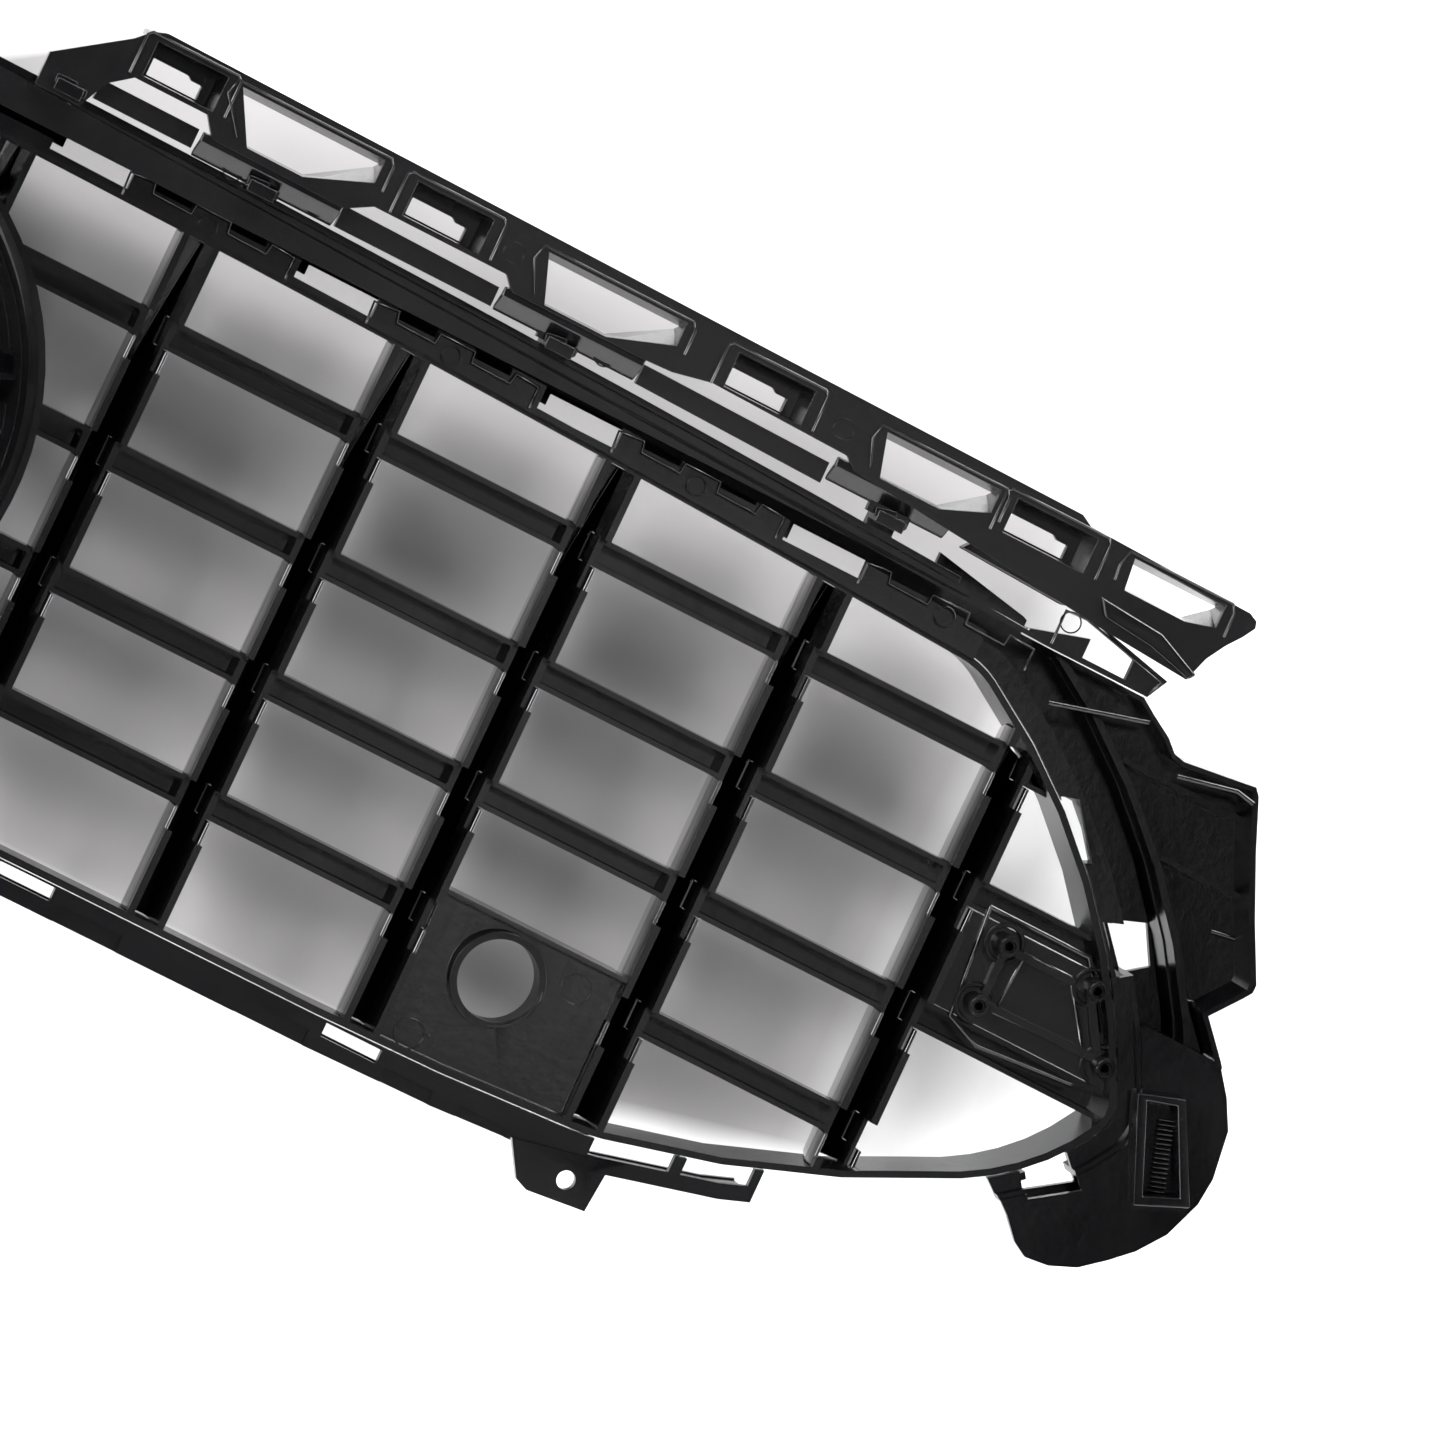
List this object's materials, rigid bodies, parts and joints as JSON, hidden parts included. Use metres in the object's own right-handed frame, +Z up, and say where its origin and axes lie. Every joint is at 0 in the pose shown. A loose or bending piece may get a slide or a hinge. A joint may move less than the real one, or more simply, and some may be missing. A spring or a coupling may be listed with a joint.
{
  "type": "front grille",
  "caption": "Bowed automotive front grille: lattice insert with hollow upright blades in a bezel with side wings, a truss-like top carrier, a blank round badge and lower screw tabs.",
  "frame": {"origin": "midway between the two lower bolt holes, on the mid plane of their tabs", "axes": "+X to the right of a person looking at the grille's face, +Y rearward, +Z up"},
  "size_m": [1.126, 0.1633, 0.297],
  "materials": {
    "matte_black": "fine moulded grain, slightly satin",
    "satin_black": "satin moulded grain",
    "gloss_black": "piano black",
    "badge_black": "piano black, blank",
    "zinc_steel": "zinc plated"
  },
  "bodies": {
    "root": {"lattice": "matte_black", "bezel_top": "matte_black", "bezel_bottom": "matte_black", "bezel_left": "matte_black", "bezel_right": "matte_black", "latch_box_left": "matte_black", "latch_box_right": "matte_black", "upper_carrier": "satin_black", "sensor_panel": "gloss_black", "module_bracket": "satin_black", "emblem_base": "matte_black", "badge_plate": "badge_black", "badge_ring": "gloss_black", "badge_screws": "zinc_steel", "blade_left_1": "gloss_black", "blade_left_2": "gloss_black", "blade_left_3": "gloss_black", "blade_left_4": "gloss_black", "blade_left_5": "gloss_black", "blade_stub_top_left": "gloss_black", "blade_stub_bottom_left": "gloss_black", "blade_right_1": "gloss_black", "blade_right_2": "gloss_black", "blade_right_3": "gloss_black", "blade_right_4": "gloss_black", "blade_right_5": "gloss_black", "blade_stub_top_right": "gloss_black", "blade_stub_bottom_right": "gloss_black"}
  },
  "joints": []
}
